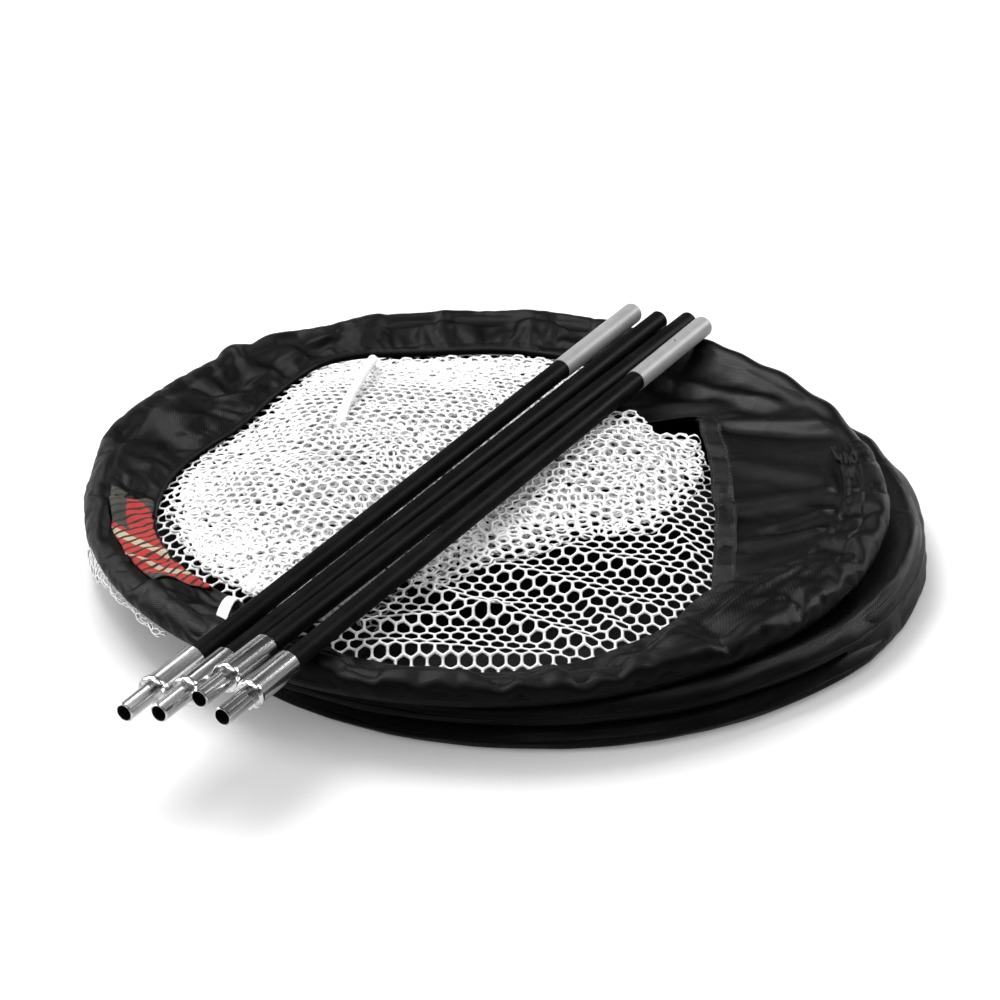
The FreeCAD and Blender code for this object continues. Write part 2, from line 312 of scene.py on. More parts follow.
# --- materials ---
class Nodes:
    """Short way to build a node tree."""

    def __init__(self, tree):
        self.tree = tree

    def add(self, kind, inputs=None, **settings):
        made = self.tree.nodes.new("ShaderNode" + kind)
        for key, value in settings.items():
            setattr(made, key, value)
        for key, value in (inputs or {}).items():
            self.put(made, key, value)
        return made

    def put(self, made, key, value):
        socket = made.inputs[key]
        if isinstance(value, bpy.types.NodeSocket):
            self.tree.links.new(value, socket)
        else:
            socket.default_value = value

    def math(self, operation, first, second=0.0):
        return self.add("Math", {0: first, 1: second}, operation=operation).outputs[0]

    def scaled(self, value, factor, offset=None):
        product = self.math("MULTIPLY", value, factor)
        return product if offset is None else self.math("ADD", product, offset)

    def noise(self, scale, detail=3.0, vector=None, stretch=None):
        source = vector or self.add("TexCoord").outputs["Object"]
        if stretch:
            source = self.add("Mapping", {"Vector": source, "Scale": stretch}).outputs[0]
        made = self.add("TexNoise", {"Vector": source, "Scale": scale, "Detail": detail})
        return made.outputs["Fac"]

    def ramp(self, value, *stops):
        made = self.add("ValToRGB", {"Fac": value})
        elements = made.color_ramp.elements
        while len(elements) < len(stops):
            elements.new(0.5)
        for element, (place, colour) in zip(elements, stops):
            element.position = place
            element.color = (*colour, 1.0)
        return made.outputs["Color"]

    def bump(self, height, strength, distance, normal=None):
        made = self.add("Bump", {"Height": height, "Strength": strength, "Distance": distance})
        if normal:
            self.put(made, "Normal", normal)
        return made.outputs[0]


class Shader(Nodes):
    """Node material with a Principled surface."""

    def __init__(self, name):
        self.material = bpy.data.materials.new(name)
        self.material.use_nodes = True
        super().__init__(self.material.node_tree)
        self.surface = self.tree.nodes["Principled BSDF"]

    def set(self, **values):
        for key, value in values.items():
            self.put(self.surface, key.replace("_", " "), value)


def grey(value):
    return (value, value, value)


def weave_height(shader, pitch, slant):
    """Plain weave over the fabric's own coordinates; slant gives it a twill look."""
    places = shader.add("UVMap", uv_map="fabric").outputs[0]
    parts = shader.add("SeparateXYZ", {0: places})
    turns = 2 * pi / (pitch * MM)
    warp = shader.math("SINE", shader.scaled(parts.outputs[0], turns))
    leaning = shader.scaled(parts.outputs[0], slant * turns)
    weft = shader.math("SINE", shader.scaled(parts.outputs[1], turns, leaning))
    return shader.math("MULTIPLY", warp, weft)


def fabric(name, shade, roughness, pitch, slant=0.5, weave=0.35, sheen=0.0, specular=0.3):
    """Woven cloth; shade is its darkest and lightest grey, pitch its weave in mm."""
    shader = Shader(name)
    blotches = shader.noise(28.0, 4.0)
    fine = shader.noise(260.0, 2.0)
    dark, light = shade
    weave_map = weave_height(shader, pitch, slant)
    tone = shader.scaled(blotches, 0.7, shader.scaled(weave_map, 0.18))
    colour = shader.ramp(tone, (0.25, grey(dark)), (0.75, grey(light)))
    rough = shader.scaled(blotches, 0.22, roughness - 0.11)
    grain = shader.bump(fine, 0.12, 0.0004)
    normal = shader.bump(weave_map, weave, 0.00012, grain)
    shader.set(Base_Color=colour, Roughness=rough, Normal=normal, Sheen_Weight=sheen,
               Sheen_Roughness=0.35, Specular_IOR_Level=specular)
    return shader.material


def finish(name, tones, tone_noise, grain_noise, relief, roughness, uneven=0.0, **values):
    """Finish with a blotchy tone between two stops of grey, and a fine bump.

    uneven adds to its roughness where the tone is light."""
    shader = Shader(name)
    tone = shader.noise(*tone_noise)
    colour = shader.ramp(tone, *[(stop, grey(value)) for stop, value in tones])
    rough = shader.scaled(tone, uneven, roughness) if uneven else roughness
    grain = shader.noise(*grain_noise)
    shader.set(Base_Color=colour, Roughness=rough, Normal=shader.bump(grain, *relief), **values)
    return shader.material


def ferrule_material(pole_axis):
    """Bright formed steel, streaked along the pole."""
    shader = Shader("ferrule_steel")
    rotation = Vector((0, 0, 1)).rotation_difference(Vector(pole_axis)).to_euler()
    place = shader.add("TexCoord").outputs["Object"]
    turned = shader.add("VectorRotate", {"Vector": place, "Rotation": rotation},
                        rotation_type="EULER_XYZ", invert=True).outputs[0]
    streaks = shader.noise(420.0, 5.0, turned, (1.0, 1.0, 0.05))
    broad = shader.noise(150.0, 2.0, turned, (1.0, 1.0, 0.08))
    colour = shader.ramp(streaks, (0.34, grey(0.22)), (0.5, grey(0.54)), (0.7, grey(0.68)))
    rough = shader.scaled(broad, 0.3, 0.06)
    shader.set(Base_Color=colour, Metallic=1.0, Roughness=rough,
               Normal=shader.bump(streaks, 0.25, 0.0004))
    return shader.material


def label_material():
    """Slanted check of red, olive and cream over the label's own coordinates."""
    shader = Shader("plaid_label")
    places = shader.add("UVMap", uv_map="fabric").outputs[0]
    parts = shader.add("SeparateXYZ", {0: places})
    long, short = parts.outputs[0], parts.outputs[1]

    def repeats(per_length, per_width):
        total = shader.scaled(long, per_length, shader.scaled(short, per_width))
        return shader.math("FRACT", total)

    def mix(share, first, second):
        inputs = {0: share, 6: first, 7: (*second, 1.0)}
        return shader.add("Mix", inputs, data_type="RGBA").outputs[2]

    stripes = repeats(230.0, 200.0)
    blocks = repeats(9.5, -5.0)
    charcoal, red, cream = (0.02, 0.018, 0.015), (0.5, 0.018, 0.012), (0.5, 0.43, 0.29)
    olive = (0.05, 0.047, 0.036)
    ground = shader.ramp(blocks, (0.0, red), (0.3, red), (0.305, cream), (0.37, cream),
                         (0.375, red), (0.5, red), (0.505, cream), (0.55, cream),
                         (0.555, red), (0.66, red), (0.665, olive), (1.0, olive))
    outer = shader.math("MULTIPLY", shader.math("LESS_THAN", short, 0.0085),
                        shader.math("LESS_THAN", blocks, 0.27))
    halved = mix(outer, ground, olive)
    checked = mix(shader.math("GREATER_THAN", stripes, 0.66), halved, charcoal)
    shader.set(Base_Color=checked, Roughness=0.7, Specular_IOR_Level=0.15,
               Normal=shader.bump(weave_height(shader, 0.6, 0.0), 0.5, 0.0002))
    return shader.material


SATIN = fabric("black_satin", (0.0006, 0.002), 0.3, 0.7, specular=0.08)
POLYESTER = fabric("black_polyester", (0.001, 0.003), 0.36, 0.9, weave=0.45, specular=0.055)
TAPE = fabric("binding_tape", (0.002, 0.005), 0.4, 1.1, slant=0.0, weave=0.7, specular=0.08)
THREAD = fabric("thread", (0.02, 0.04), 0.5, 0.4, sheen=0.02)
NETTING = finish("netting", ((0.3, 0.93 * 0.93), (0.7, 0.93)), (18.0, 3.0),
                 (900.0, 3.0, None, (1.0, 1.0, 0.4)), (0.35, 0.0003), 0.62, Sheen_Weight=0.2,
                 Subsurface_Weight=0.25, Subsurface_Scale=1.0,
                 Subsurface_Radius=(0.002, 0.002, 0.002))
STRAP = finish("white_elastic", ((0.3, 0.86), (0.7, 0.93)), (60.0, 3.0), (1400.0, 2.0),
               (0.3, 0.0002), 0.55, Sheen_Weight=0.3)
TIP = finish("tip_grey", ((0.35, 0.24), (0.7, 0.29)), (90.0, 5.0), (700.0, 3.0),
             (0.15, 0.0003), 0.5)
WIRE = finish("spring_wire", ((0.35, 0.3), (0.7, 0.45)), (300.0, 4.0), (300.0, 4.0),
              (0.2, 0.0002), 0.35, Metallic=1.0)
COATING = finish("pole_coating", ((0.45, 0.003), (0.8, 0.008)),
                 (60.0, 6.0, None, (1.0, 1.0, 4.0)), (520.0, 2.0), (0.08, 0.0002), 0.36,
                 uneven=0.2, Specular_IOR_Level=0.02)
LABEL = label_material()


# --- netting ---
class Sheet:
    """Grid of points over the unit square, looked up with smooth interpolation."""

    def __init__(self, grid):
        self.grid = grid

    def at(self, u, v):
        total = 0.0
        for i, a in self.weights(u, self.grid.shape[0]):
            for j, b in self.weights(v, self.grid.shape[1]):
                total = total + self.grid[i, j] * (a * b)[..., None]
        return total

    @staticmethod
    def weights(share, count):
        """Four Catmull-Rom neighbours of each place and their weights."""
        x = np.clip(share, 0, 1) * (count - 1)
        i = np.clip(np.floor(x).astype(int), 0, count - 2)
        t = x - i
        shares = (-t / 2 + t**2 - t**3 / 2, 1 - 2.5 * t**2 + 1.5 * t**3,
                  t / 2 + 2 * t**2 - 1.5 * t**3, -t**2 / 2 + t**3 / 2)
        return [(np.clip(i + k - 1, 0, count - 1), shares[k]) for k in range(4)]


def surface_normal(sheet, u, v):
    across = sheet.at(u + NORMAL_STEP, v) - sheet.at(u - NORMAL_STEP, v)
    along = sheet.at(u, v + NORMAL_STEP) - sheet.at(u, v - NORMAL_STEP)
    return unit(np.cross(across, along))


def net_object(name, sheet, size, slant, keep, strand=NET_STRAND):
    """Netting over a sheet: a rounded hole in each hexagonal cell, with strands between.

    size is the sheet's rest size in millimetres, slant turns the rows, and
    keep(u, v) tells which cell centres are part of the piece."""
    reach = int(max(size) / NET_ROW) + 3
    column, row = np.meshgrid(np.arange(-reach, reach + 1), np.arange(-reach, reach + 1))
    column, row = column.ravel(), row.ravel()
    # Corner and mid-edge points are shared, so they are numbered on a fine lattice: a
    # cell's centre is at (12, 0) steps per column and (6, 12) per row.
    steps = [(0, 8), (3, 6), (6, 4), (6, 0), (6, -4), (3, -6),
             (0, -8), (-3, -6), (-6, -4), (-6, 0), (-6, 4), (-3, 6)]
    unit_x, unit_y = NET_PITCH / 12, NET_ROW / 12

    def place(a, b):
        x, y = a * unit_x, b * unit_y
        c, s = cos(slant), sin(slant)
        return (x * c - y * s) / size[0] + 0.5, (x * s + y * c) / size[1] + 0.5

    centre_a = column * 12 + (row % 2) * 6
    centre_b = row * 12
    u, v = place(centre_a, centre_b)
    chosen = (u > 0) & (u < 1) & (v > 0) & (v < 1)
    chosen[chosen] = keep(u[chosen], v[chosen])
    centre_a, centre_b = centre_a[chosen], centre_b[chosen]
    count = len(centre_a)
    ring_a = centre_a[:, None] + np.array([a for a, b in steps])
    ring_b = centre_b[:, None] + np.array([b for a, b in steps])
    keys = ring_a.ravel() * NET_KEY + ring_b.ravel()
    unique, first, index = np.unique(keys, return_index=True, return_inverse=True)
    shared = index.reshape(count, NET_CORNERS)
    u, v = place(ring_a.ravel()[first], ring_b.ravel()[first])
    middle = sheet.at(u, v)
    lift = surface_normal(sheet, u, v) * NET_THICKNESS / 2
    inner_share = 1 - strand / (NET_PITCH * 0.96)
    corner_share = inner_share * 0.93
    shares = np.where(np.arange(NET_CORNERS) % 2 == 0, corner_share, inner_share)
    hole_a = centre_a[:, None] + (ring_a - centre_a[:, None]) * shares
    hole_b = centre_b[:, None] + (ring_b - centre_b[:, None]) * shares
    u, v = place(hole_a.ravel(), hole_b.ravel())
    hole = sheet.at(u, v)
    points = np.concatenate([middle + lift, middle - lift, hole])
    total = len(unique)
    rim = 2 * total + np.arange(count * NET_CORNERS).reshape(count, NET_CORNERS)
    after = np.roll(np.arange(NET_CORNERS), -1)
    over = np.stack([shared, rim, rim[:, after], shared[:, after]], -1).reshape(-1, 4)
    under = np.stack([shared + total, shared[:, after] + total, rim[:, after], rim], -1)
    faces = np.concatenate([over, under.reshape(-1, 4), net_border(shared, after, total)])
    return mesh_object(name, points, faces, material=NETTING)


def net_border(shared, after, total):
    """Closes the strands along the netting's outside edge."""
    start, end = shared.ravel(), shared[:, after].ravel()
    low, high = np.minimum(start, end), np.maximum(start, end)
    keys = low * (total + 1) + high
    unique, index, counts = np.unique(keys, return_inverse=True, return_counts=True)
    alone = counts[index] == 1
    start, end = start[alone], end[alone]
    return np.stack([start, end, end + total, start + total], -1)


def disc_places(count):
    """Unit disc points for a square grid, so that a grid can fill a round outline."""
    t = np.linspace(-1, 1, count)
    u, v = np.meshgrid(t, t, indexing="ij")
    return u * np.sqrt(1 - v * v / 2), v * np.sqrt(1 - u * u / 2)


def disc_to_square(x, y):
    """Inverse of disc_places, to 0..1."""
    def root(value):
        return np.sqrt(np.maximum(value, 0))
    diagonal = 2 * sqrt(2)
    a = 2 + x * x - y * y
    b = 2 - x * x + y * y
    u = (root(a + diagonal * x) - root(a - diagonal * x)) / 2
    v = (root(b + diagonal * y) - root(b - diagonal * y)) / 2
    return (u + 1) / 2, (v + 1) / 2


# --- bands of fabric round the top turn ---
TOP = TURNS["top"]
# How wide the fabric is between the top sleeve's outside and the netting.
BAND_LEFT, BAND_FRONT, BAND_BACK = 29.0, 18.0, 34.0
edge_low = sleeve_low[:2] + (BAND_LEFT, BAND_FRONT)
edge_high = sleeve_high[:2] - (BAND_LEFT, BAND_BACK)
NET_EDGE = Oval((edge_low + edge_high) / 2, (edge_high - edge_low) / 2)
# Where the netting's edge leaves its oval: azimuth, spread in degrees, share of radius.
HEM_SHIFTS = ((150, 17, -0.075), (118, 14, 0.085), (86, 14, 0.03), (188, 10, 0.01),
              (222, 14, -0.05), (295, 10, -0.03), (320, 18, -0.13))
HEM_Z = BAND_TOP + 0.4


def hem_radius(azimuth):
    """Plan radius of the netting's edge about its own centre, azimuth in degrees."""
    angle = np.radians(azimuth)
    half_x, half_y = NET_EDGE.half
    oval = 1 / np.sqrt((np.cos(angle) / half_x) ** 2 + (np.sin(angle) / half_y) ** 2)
    change = sum(share * bump(turn_between(azimuth, centre), 0, spread)
                 for centre, spread, share in HEM_SHIFTS)
    return oval * (1 + change)


def hem_height(azimuth):
    """The netting's edge lies lower along the front."""
    return HEM_Z - 2.2 * bump(turn_between(azimuth, 275), 0, 40)


def hem_points(azimuth, seed):
    x, y = plan_at(NET_EDGE.centre, np.radians(azimuth), hem_radius(azimuth))
    z = hem_height(azimuth) + 0.5 * noise(azimuth / 10, 0, seed)
    return points_at(x, y, z)


def over_ring(turn, azimuth, turned, radius):
    """Points round a turn's sleeve; turned is 0 on the outside and 90 degrees on top."""
    around = np.radians(turned)
    x, y = turn.point(np.radians(azimuth), SLEEVE_R - radius * np.cos(around))
    return points_at(x, y, turn.z + radius * np.sin(around))


# Bunched places on the outside of the ring: azimuth, spread in degrees, height in mm.
HUMPS = ((131, 2.6, 3.2), (124, 5.0, 2.6), (108, 4.0, 1.8), (55, 3.5, 3.4), (49, 3.0, 2.2),
         (40, 5.0, 2.4), (27, 4.0, 2.2), (163, 8.0, 1.8), (196, 6.0, 1.6), (350, 9.0, 2.0))


def humps(azimuths, turned):
    """Extra looseness of the cloth where it is bunched, most on its upper outside."""
    total = sum(height * bump(turn_between(azimuths, centre), 0, spread)
                for centre, spread, height in HUMPS)
    return total * bump(turned, 55, 45)


def band_grid(turn, azimuths, inner, rows, turned, sag, ease=0.7):
    """Cloth from the outside of a turn over its top, and on to an inner edge."""
    over, flat = rows
    columns = [over_ring(turn, azimuths, angle, SLEEVE_R + ease + humps(azimuths, angle))
               for angle in np.linspace(*turned, over)]
    edge = columns[-1]
    for t in np.linspace(0, 1, flat + 1)[1:]:
        point = edge * (1 - t) + inner * t
        point[:, 2] -= sag * 4 * t * (1 - t)
        columns.append(point)
    return np.stack(columns, 1)


def crease(grid, start, end, width, height):
    """Raises a fold along a plan line, with a hollow beside it."""
    start, end = np.array(start, float), np.array(end, float)
    run = end - start
    length = np.hypot(*run)
    offset = grid[..., :2] - start
    along = offset @ run / length**2
    beside = (offset[..., 0] * run[1] - offset[..., 1] * run[0]) / length
    taper = smooth(along * 4 + 0.5) * smooth((1 - along) * 4 + 0.5)
    hollow = 0.35 * bump(beside, 2.0 * width, 1.3 * width)
    return height * taper * (bump(beside, 0, width) - hollow)


def seam(grid, row, depth):
    """Presses a sewn line into the cloth along one row."""
    grid[:, row, 2] -= depth
    return grid


def free_rows(count, first, fade_in, fade_out):
    """How far each row across a band may leave its place, 0 to 1."""
    rows = np.arange(count)
    return smooth((rows - first) / fade_in) * smooth((count - 1 - rows) / fade_out)


def held_edges(grid, first, last):
    """Mask that holds the first and last rows across a band, and its two ends."""
    held = np.zeros(grid.shape[:2])
    held[:, :first] = 1
    held[:, -last:] = 1
    held[0] = held[-1] = 1
    return held


def with_hem(grid, depth):
    """Turns the inner edge down in a soft roll."""
    edge = grid[:, -1]
    inwards = edge - grid[:, -2]
    inwards[:, 2] = 0
    inwards = unit(inwards)
    rows = [grid]
    for angle in np.radians(np.linspace(0, 150, 6)[1:]):
        step = inwards * sin(angle) * depth / 2
        step[:, 2] = -(1 - cos(angle)) * depth / 2
        rows.append((edge + step)[:, None])
    return np.concatenate(rows, 1)


def band_places(grid, azimuths):
    """Lengths along and across a band, for its wrinkles."""
    width = np.linspace(0, 60, grid.shape[1])
    return np.meshgrid(azimuths * BAND_ARC, width, indexing="ij")


def rim_skirt_grid():
    azimuths = np.linspace(70, 186, 200)
    grid = band_grid(TOP, azimuths, hem_points(azimuths, 5), (8, 16), (-35, 125), sag=1.2,
                     ease=1.0)
    length, width = band_places(grid, azimuths)
    loose = free_rows(grid.shape[1], 3, 5, 4)
    left = bump(turn_between(azimuths, 172), 0, 34)[:, None]
    folds = 1.5 * ridges(length / 85, width / 17, 11)
    slanted = 2.6 * ridges((length + width * 1.5) / 46, (width - length * 0.25) / 60, 13)
    grid[..., 2] += loose * (folds + left * slanted)
    grid = wrinkle(grid, held_edges(grid, 3, 1), 0.1, bending=0.7, cap=5.0)
    return seam(seam(grid, 8, 0.9), -4, 0.5)


ROLL_START, ROLL_END = 312.0, 374.0     # where the front band narrows to a roll


def band_inner_edge(azimuths):
    """The front band's inner edge, which leaves the netting to run along the ring."""
    inner = hem_points(azimuths, 6)
    outwards = smooth((azimuths - ROLL_START) / (ROLL_END - ROLL_START - 8))[:, None]
    x, y = TOP.point(np.radians(azimuths), 15.0)
    ring_side = points_at(x, y, HEM_Z + 2.6)
    inner = inner * (1 - outwards) + ring_side * outwards
    inner[:, 2] += 2.4 * smooth((azimuths - 308) / 14) * (1 - outwards[:, 0])
    return inner


def front_band_grid():
    """Band along the front that ends as a roll over the right panel."""
    azimuths = np.linspace(178, ROLL_END, 280)
    inner = band_inner_edge(azimuths)
    grid = band_grid(TOP, azimuths, inner, (9, 14), (-55, 120), sag=1.0, ease=1.0)
    length, width = band_places(grid, azimuths)
    loose = free_rows(grid.shape[1], 2, 4, 4)
    folds = 1.5 * ridges(length / 70 + width / 60, width / 9, 21)
    puckers = 0.5 * noise(length / 7, width / 30, 23)
    lay = 1 - smooth((azimuths - 179) / 8)
    grid[..., 2] += loose * (folds + puckers) - 1.6 * lay[:, None] * smooth((width - 12) / 20)
    grid = wrinkle(grid, held_edges(grid, 2, 1), 0.07, bending=0.7)
    return seam(seam(grid, 9, 0.9), -4, 0.5)


# Main folds of the right panel, in shares of its box: start, end, width, height (mm).
PANEL_FOLDS = (((-0.1, 0.78), (1.0, 0.72), 4.0, 2.6), ((0.10, 0.60), (0.95, 0.52), 6.0, 1.6),
               ((0.0, 0.44), (0.90, 0.50), 3.6, 2.4), ((0.3, 0.36), (0.95, 0.44), 2.6, 2.4),
               ((0.1, 0.30), (0.75, 0.36), 3.2, 1.8), ((0.62, 0.26), (0.98, 0.37), 2.4, 2.6),
               ((-0.5, 0.97), (0.5, 0.84), 4.0, 2.4), ((-0.8, 0.84), (0.1, 0.86), 5.0, 2.2))
PANEL_TURN_AZIMUTH = 22.0   # behind this the panel's inner edge leaves the tape


def panel_inner_edge(azimuths):
    """Follows the tape, then runs behind the netting to the poles."""
    away = smooth((azimuths - PANEL_TURN_AZIMUTH) / 40)
    share = smooth((azimuths - azimuths[0]) / 80)
    x = TAPE_X - away * 66
    y = TAPE_LOW[1] + (TAPE_HIGH[1] - TAPE_LOW[1]) * share
    y = y * (1 - away) + (TAPE_HIGH[1] - 14) * away
    return points_at(x, y, HEM_Z - 0.6 - 3.5 * away)


def right_panel_grid():
    """Satin panel from the tape to the ring, and behind the netting at the back right."""
    azimuths = np.linspace(-46, 73, 200)
    inner = panel_inner_edge(azimuths)
    grid = band_grid(TOP, azimuths, inner, (8, 36), (-35, 125), sag=1.8, ease=0.4)
    # In front its outer edge is tucked under the roll instead of going over the ring.
    roll = band_inner_edge(azimuths + 360)
    outwards = roll - np.append(TOP.centre, 0)
    outwards[:, 2] = 0
    outwards = unit(outwards)
    tucked = smooth((13 - azimuths) / 8)[:, None]
    rows = grid.shape[1]
    for row in range(rows):
        t = row / (rows - 1)
        under = (roll + outwards * 5.0) * (1 - t) + inner * t
        under[:, 2] -= 2.2 * (1 - t) + 1.5 * 4 * t * (1 - t)
        grid[:, row] = grid[:, row] * (1 - tucked) + under * tucked
    low, high = box_mm("right_panel")
    size = (high - low)[:2]
    x, y = grid[..., 0], grid[..., 1]
    loose = free_rows(grid.shape[1], 5, 6, 5)
    folds = 1.0 * noise(x / 40, y / 22, 31) + 0.7 * ridges(x / 46 + y / 80, y / 13 - x / 60, 32)
    for start, end, width, height in PANEL_FOLDS:
        folds += crease(grid, low[:2] + start * size, low[:2] + end * size, width, height)
    hollow = bump(x, low[0] - 10, 42) * bump(y, high[1] * 0.83, 30)
    ends = smooth((azimuths + 46) / 10) * smooth((74 - azimuths) / 8)
    grid[..., 2] += loose * ends[:, None] * folds - loose * 4.0 * hollow
    return wrinkle(grid, held_edges(grid, 3, 1), 0.05)


def middle_skirt_grid():
    """Loose fabric over the middle turn, seen between the turns on the right."""
    turn = TURNS["middle"]
    azimuths = np.linspace(0, 360, 400, endpoint=False)
    x, y = turn.point(np.radians(azimuths), SKIRT_WIDTH)
    inner = points_at(x, y, SKIRT_Z)
    grid = band_grid(turn, azimuths, inner, (7, 9), (-20, 110), sag=0.6, ease=0.3)
    length = np.abs(turn_between(azimuths, 0))[:, None] * SLEEVE_ARC
    width = np.linspace(0, 60, grid.shape[1])
    open_side = bump(turn_between(azimuths, 345), 0, 75)[:, None]
    loose = free_rows(grid.shape[1], 2, 3, 3) * open_side
    grid[..., 2] += loose * 0.7 * ridges(length / 30 + 3, width / 14, 81)
    return grid


# --- sleeves and panels of the turns ---
def sleeve_grid(turn, seed, lean, slack):
    """Loose sleeve; lean is how far it bulges outwards and slack how much it creases."""
    oval = TURNS[turn]
    azimuths = np.linspace(0, 360, 480, endpoint=False)
    along, turned = np.meshgrid(azimuths, np.linspace(0, 360, 26), indexing="ij")
    angle = np.radians(turned)
    outside = smooth(np.cos(angle) * 0.9 + 0.35)
    lower = smooth(0.6 - np.sin(angle) * 0.8)
    length = np.abs(turn_between(along, 0)) * SLEEVE_ARC
    height = (np.sin(angle) + 2) * 1.3
    folds = ridges(length / 75 + 9, height * 1.4, seed)
    puckers = noise(length / 9 + 5, height * 0.7, seed + 3)
    swell = noise(length / 90 + 3, height * 0.3, seed + 5)
    sharp = ridges((length + 26 * height) / 34 + 5, height * 0.8 + length / 120, seed + 7)
    ease = outside * (lean * (0.75 + 0.4 * swell) * lower + slack * (0.7 * folds + 0.5 * sharp))
    ease = np.maximum(SLEEVE_EASE + ease + 0.3 * outside * puckers, SLEEVE_EASE * 0.5)
    grow = SLEEVE_R + ease
    x, y = oval.point(np.radians(along), SLEEVE_R - grow * np.cos(angle))
    z = oval.z + (SLEEVE_R + np.minimum(ease, 0.3)) * np.sin(angle)
    return points_at(x, y, np.maximum(z, CLOTH_THICKNESS / 2))


def base_panel_grid():
    """Sheet that closes the base turn; it rests flat on the ground."""
    x, y = disc_places(80)
    turn = TURNS["base"]
    azimuth = np.arctan2(y, x)
    edge_x, edge_y = turn.point(azimuth, 2 * SLEEVE_R + 0.5)
    share = np.hypot(x, y)
    plan_x = turn.centre[0] + (edge_x - turn.centre[0]) * share
    plan_y = turn.centre[1] + (edge_y - turn.centre[1]) * share
    waves = ridges(plan_x / 70, plan_y / 50, 91) * 0.5 + 0.5
    z = 0.4 + 1.4 * np.maximum(waves, 0) * smooth((1 - share) * 8)
    return points_at(plan_x, plan_y, z)


def gusset_grid(lower, upper, azimuth, half_spread, top, seed):
    """Patch that joins two turns on the outside of their fold."""
    azimuths = np.linspace(azimuth - half_spread, azimuth + half_spread, 48)
    tucked = smooth(1.2 - np.abs(np.linspace(-1.2, 1.2, len(azimuths))))
    radius = SLEEVE_R - 0.4 + 1.9 * tucked
    places = [(TURNS[lower], angle) for angle in np.linspace(-35, 25, 6)]
    places += [(TURNS[upper], angle) for angle in np.linspace(-25, top, 7)]
    grid = np.stack([over_ring(turn, azimuths, angle, radius) for turn, angle in places], 1)
    fade = tucked[:, None]
    facing = np.radians(azimuth)
    out = 0.9 * fade * ridges(azimuths[:, None] / 9, np.arange(grid.shape[1]) / 4, seed)
    grid[..., 0] += out * np.cos(facing)
    grid[..., 1] += out * np.sin(facing)
    return grid


# --- trim on the top turn ---
def tape_grid():
    """Binding tape on the panel's inner edge, gathered a little along its stitches."""
    low, high = TAPE_LOW, TAPE_HIGH
    y = np.linspace(low[1], high[1], 150)
    middle = (low[1] + high[1]) / 2
    bow = (high[0] - low[0] - TAPE_WIDTH) * ((y - middle) / (high[1] - middle)) ** 2
    across = np.linspace(-1, 1, 11)
    stitch_rows = np.abs(np.abs(across) - 0.72)
    x = high[0] - TAPE_WIDTH / 2 - bow[:, None] + across * TAPE_WIDTH / 2
    gather = noise(y / 6.5, 0, 101)[:, None] * (1 - across**2) * 1.9
    x = x + 0.5 * noise(y / 9, 0, 102)[:, None]
    z = HEM_Z + 0.9 + gather - 0.55 * bump(stitch_rows, 0, 0.12) - 0.7 * across**6
    ends = smooth((y - low[1]) / 16) * smooth((high[1] - y) / 12)
    z = z + (1.1 * noise(y / 24, 0, 103) - 4.5 * (1 - ends))[:, None]
    return points_at(x, y[:, None], z)


def stitches(name, sheet, lines, count, material):
    """Rows of raised thread dashes on a sheet; a line is its place across the sheet."""
    centre = (np.arange(count) + 0.5) / count
    t = np.linspace(-1, 1, 5)
    turned = np.linspace(0, 2 * pi, 6, endpoint=False)
    thick = 0.22 * np.sqrt(np.maximum(1 - t * t * 0.85, 0.1))[:, None]
    rise = 0.32 + 0.3 * (1 - t * t)[:, None] + thick * np.sin(turned)
    rows = []
    for line in lines:
        places = sheet.at(centre[:, None] + 0.3 / count * t, np.full((count, 5), line))
        normal = surface_normal(sheet, centre, np.full(count, line))
        up = (normal * np.sign(normal[:, 2:]))[:, None, None]
        beside = sheet.at(centre, np.full(count, line + 0.01))[:, None]
        side = unit(beside - places)[:, :, None]
        rows.append(places[:, :, None] + up * rise[..., None]
                    + side * (thick * np.cos(turned))[..., None])
    points = np.concatenate(rows).reshape(-1, 3)
    tube = [(a + k, a + (k + 1) % 6, a + (k + 1) % 6 + 6, a + k + 6)
            for a in (0, 6, 12, 18) for k in range(6)]
    ends = [tuple(range(5, -1, -1)), tuple(range(24, 30))]
    faces = [tuple(start + corner for corner in face)
             for start in range(0, len(points), 30) for face in tube + ends]
    return mesh_object(name, points, faces, material=material)


# Where the label and the tab lie on the front band, in shares of it along and across.
LABEL_SPANS = ((0.018, 0.182), (0.42, 0.97))
TAB_SPANS = ((0.203, 0.213), (0.4, 1.0))


def patch_on(sheet, along, across, counts, lift, lean=0.0):
    """Grid that lies on part of a band's sheet; lean shears it along the band."""
    (u0, u1), (v0, v1) = along, across
    u, v = np.meshgrid(np.linspace(u0, u1, counts[0]), np.linspace(v0, v1, counts[1]),
                       indexing="ij")
    u = u + (v1 - v) * lean
    normal = surface_normal(sheet, u, v)
    normal *= np.sign(normal[..., 2:])
    return sheet.at(u, v) + normal * lift


def bridge(grid, rise):
    """Pulls a strap taut between its ends in a low arch."""
    t = np.linspace(0, 1, grid.shape[1])[None, :, None]
    taut = grid[:, :1] * (1 - t) + grid[:, -1:] * t
    taut[..., 2:] += rise * 4 * t * (1 - t)
    return taut


